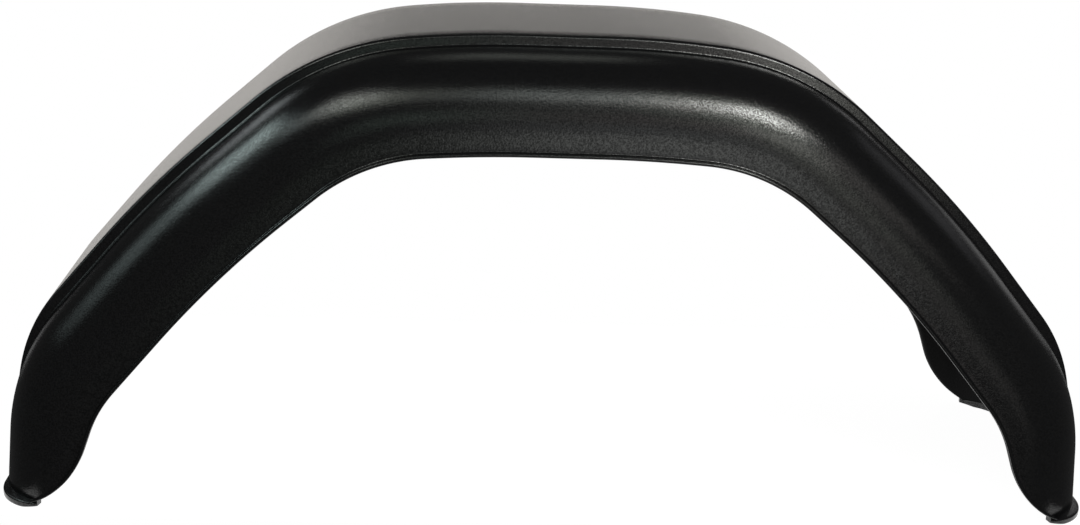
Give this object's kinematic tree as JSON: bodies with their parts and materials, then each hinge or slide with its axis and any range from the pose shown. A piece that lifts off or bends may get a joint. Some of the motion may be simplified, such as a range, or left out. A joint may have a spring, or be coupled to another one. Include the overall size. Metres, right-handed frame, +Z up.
{
  "type": "trailer mudguard",
  "caption": "Moulded plastic wheel arch with a raised tread panel, rounded shoulders, side skirts, outward rims and lipped feet.",
  "frame": {"origin": "on the ground under the middle of the moulding, centred on its length and width", "axes": "+X along the trailer, +Z up, +Y towards the trailer's chassis, -Y towards the road side"},
  "size_m": [0.7616, 0.2461, 0.327],
  "materials": {
    "moulded_plastic": "black, satin, with a fine moulded grain"
  },
  "bodies": {
    "root": {"mudguard": "moulded_plastic"}
  },
  "joints": []
}
